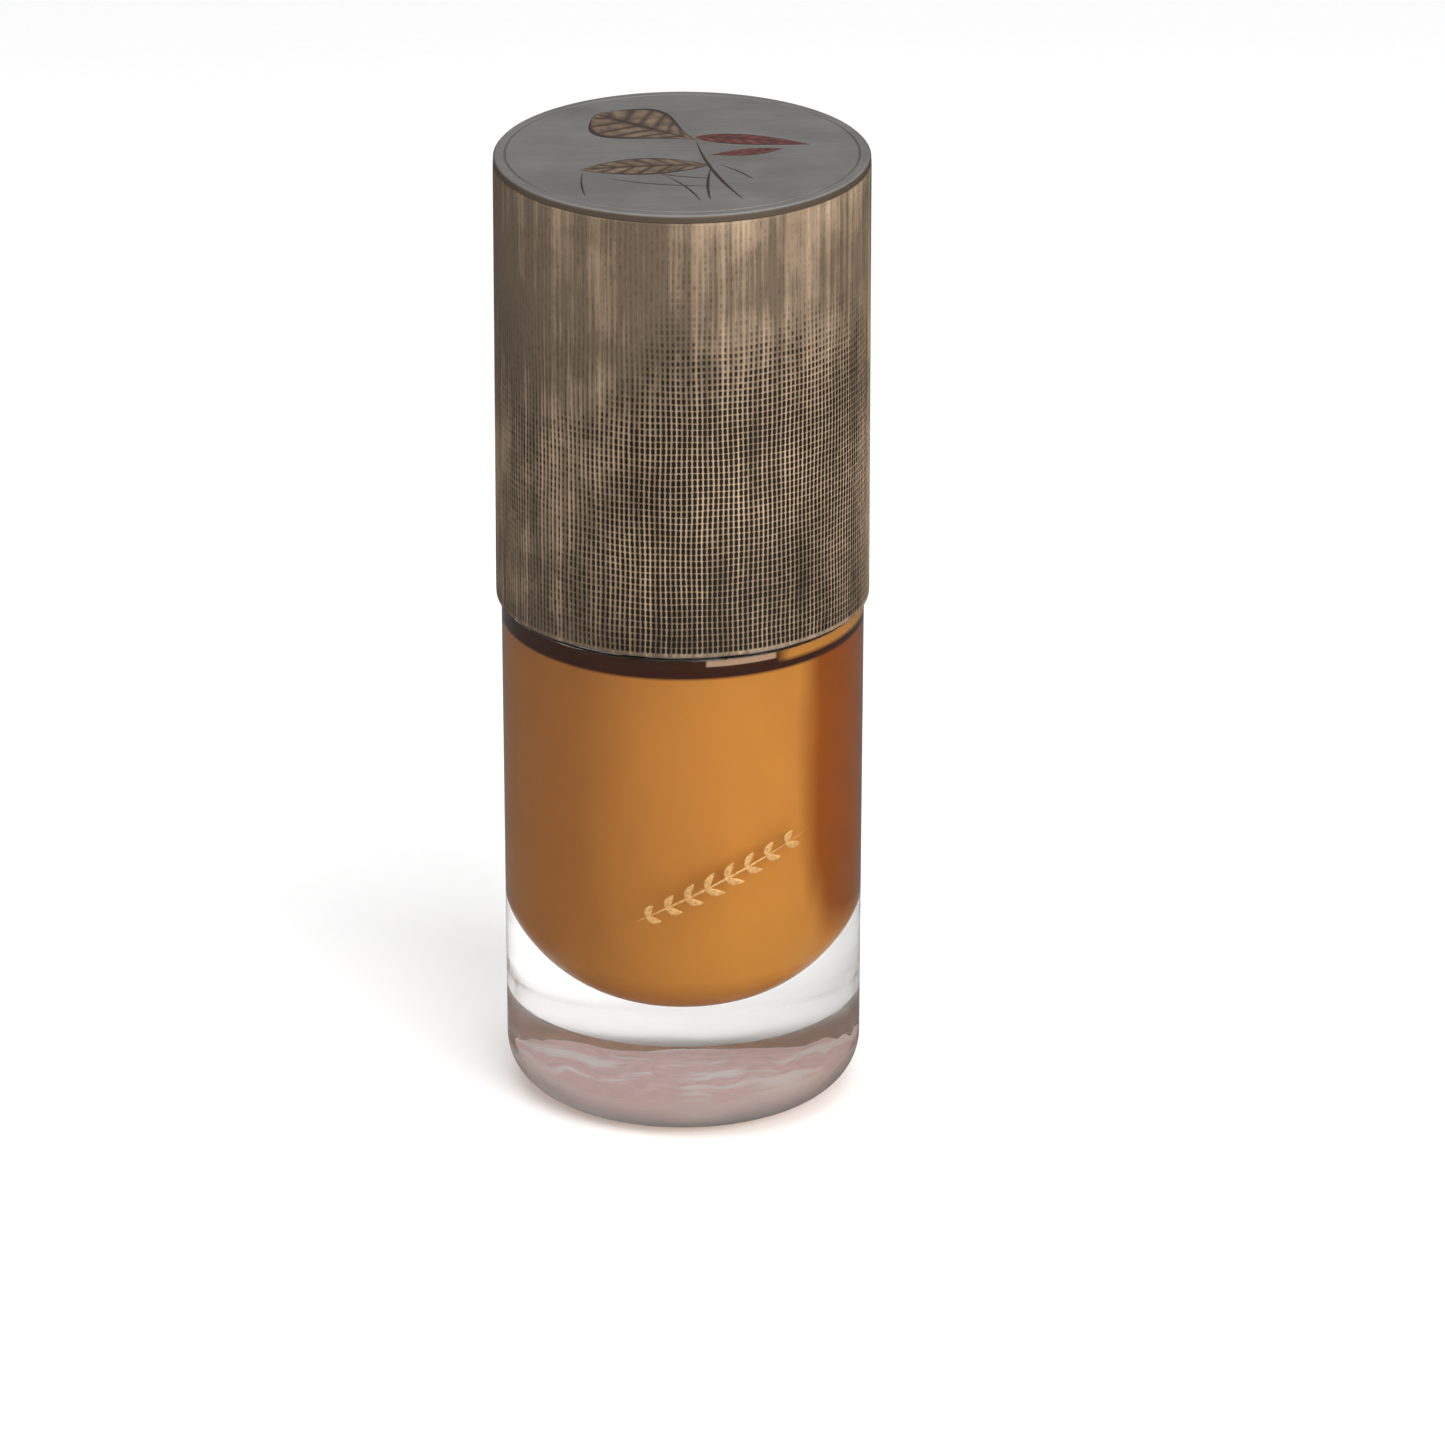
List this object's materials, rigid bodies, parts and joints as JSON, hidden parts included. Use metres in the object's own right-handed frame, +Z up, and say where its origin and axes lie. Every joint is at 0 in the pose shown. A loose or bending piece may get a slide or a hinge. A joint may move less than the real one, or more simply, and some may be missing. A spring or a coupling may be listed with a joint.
{
  "type": "aftershave bottle",
  "caption": "Round heavy-based glass aftershave spray bottle with amber liquid, a tall woven-look metal pull-off cap and a crimped spray pump.",
  "frame": {"origin": "centre of the base, on the surface that the bottle stands on", "axes": "+Z up along the axis of the bottle, -Y towards the front with the gold motif and the spray nozzle"},
  "size_m": [0.046, 0.046, 0.122],
  "materials": {
    "clear_glass": "gloss",
    "amber_liquid": "gloss",
    "label_paper": "matte",
    "gold_print": "satin",
    "clear_tube": "gloss",
    "gasket_rubber": "matte",
    "natural_plastic": "satin",
    "plain_aluminium": "satin",
    "ball_steel": "polished",
    "spring_steel": "satin",
    "piston_plastic": "satin",
    "bronze_anodised": "satin",
    "dark_plastic": "satin",
    "woven_bronze": "satin",
    "grey_satin": "satin",
    "liner_plastic": "matte",
    "weight_steel": "satin",
    "foam": "matte",
    "brown_enamel": "satin",
    "red_enamel": "satin"
  },
  "bodies": {
    "bottle": {"glass_bottle": "clear_glass", "liquid": "amber_liquid", "base_label": "label_paper", "gold_sprig": "gold_print", "dip_tube": "clear_tube", "neck_gasket": "gasket_rubber", "pump_housing": "natural_plastic", "pump_closure": "natural_plastic", "stem_gasket": "gasket_rubber", "ferrule": "plain_aluminium"},
    "collar": {"collar_clip": "natural_plastic", "collar_shell": "bronze_anodised"},
    "cap": {"cap_sleeve": "woven_bronze", "cap_top_plate": "grey_satin", "cap_liner": "liner_plastic", "cap_weight": "weight_steel", "foam_pad": "foam", "brown_leaves": "brown_enamel", "red_leaves": "red_enamel", "leaf_stem": "brown_enamel", "grip_tube": "liner_plastic"},
    "pump_stem": {"stem": "natural_plastic", "spring": "spring_steel"},
    "button": {"actuator": "dark_plastic", "actuator_shell": "bronze_anodised", "nozzle_insert": "dark_plastic"},
    "outlet_piston": {"piston": "piston_plastic"},
    "check_ball": {"inlet_ball": "ball_steel"}
  },
  "joints": [
    {"name": "collar_turn", "type": "hinge", "parent": "bottle", "child": "collar", "pos_m": [0, 0, 0.078], "axis": [0, 0, 1], "continuous": true},
    {"name": "cap_lift", "type": "slide", "parent": "collar", "child": "cap", "axis": [0, 0, 1], "range_m": [0, 0.06]},
    {"name": "pump_press", "type": "slide", "parent": "bottle", "child": "pump_stem", "axis": [0, 0, -1], "range_m": [0, 0.0055], "stiffness_N_per_m": 2000, "springref_m": -0.004, "deforming": ["spring"]},
    {"name": "button_turn", "type": "hinge", "parent": "pump_stem", "child": "button", "pos_m": [0, 0, 0.092], "axis": [0, 0, 1], "continuous": true},
    {"name": "piston_shift", "type": "slide", "parent": "pump_stem", "child": "outlet_piston", "axis": [0, 0, 1], "range_m": [0, 0.0008]},
    {"name": "inlet_ball_lift", "type": "slide", "parent": "bottle", "child": "check_ball", "axis": [0, 0, 1], "range_m": [0, 0.0006]}
  ]
}
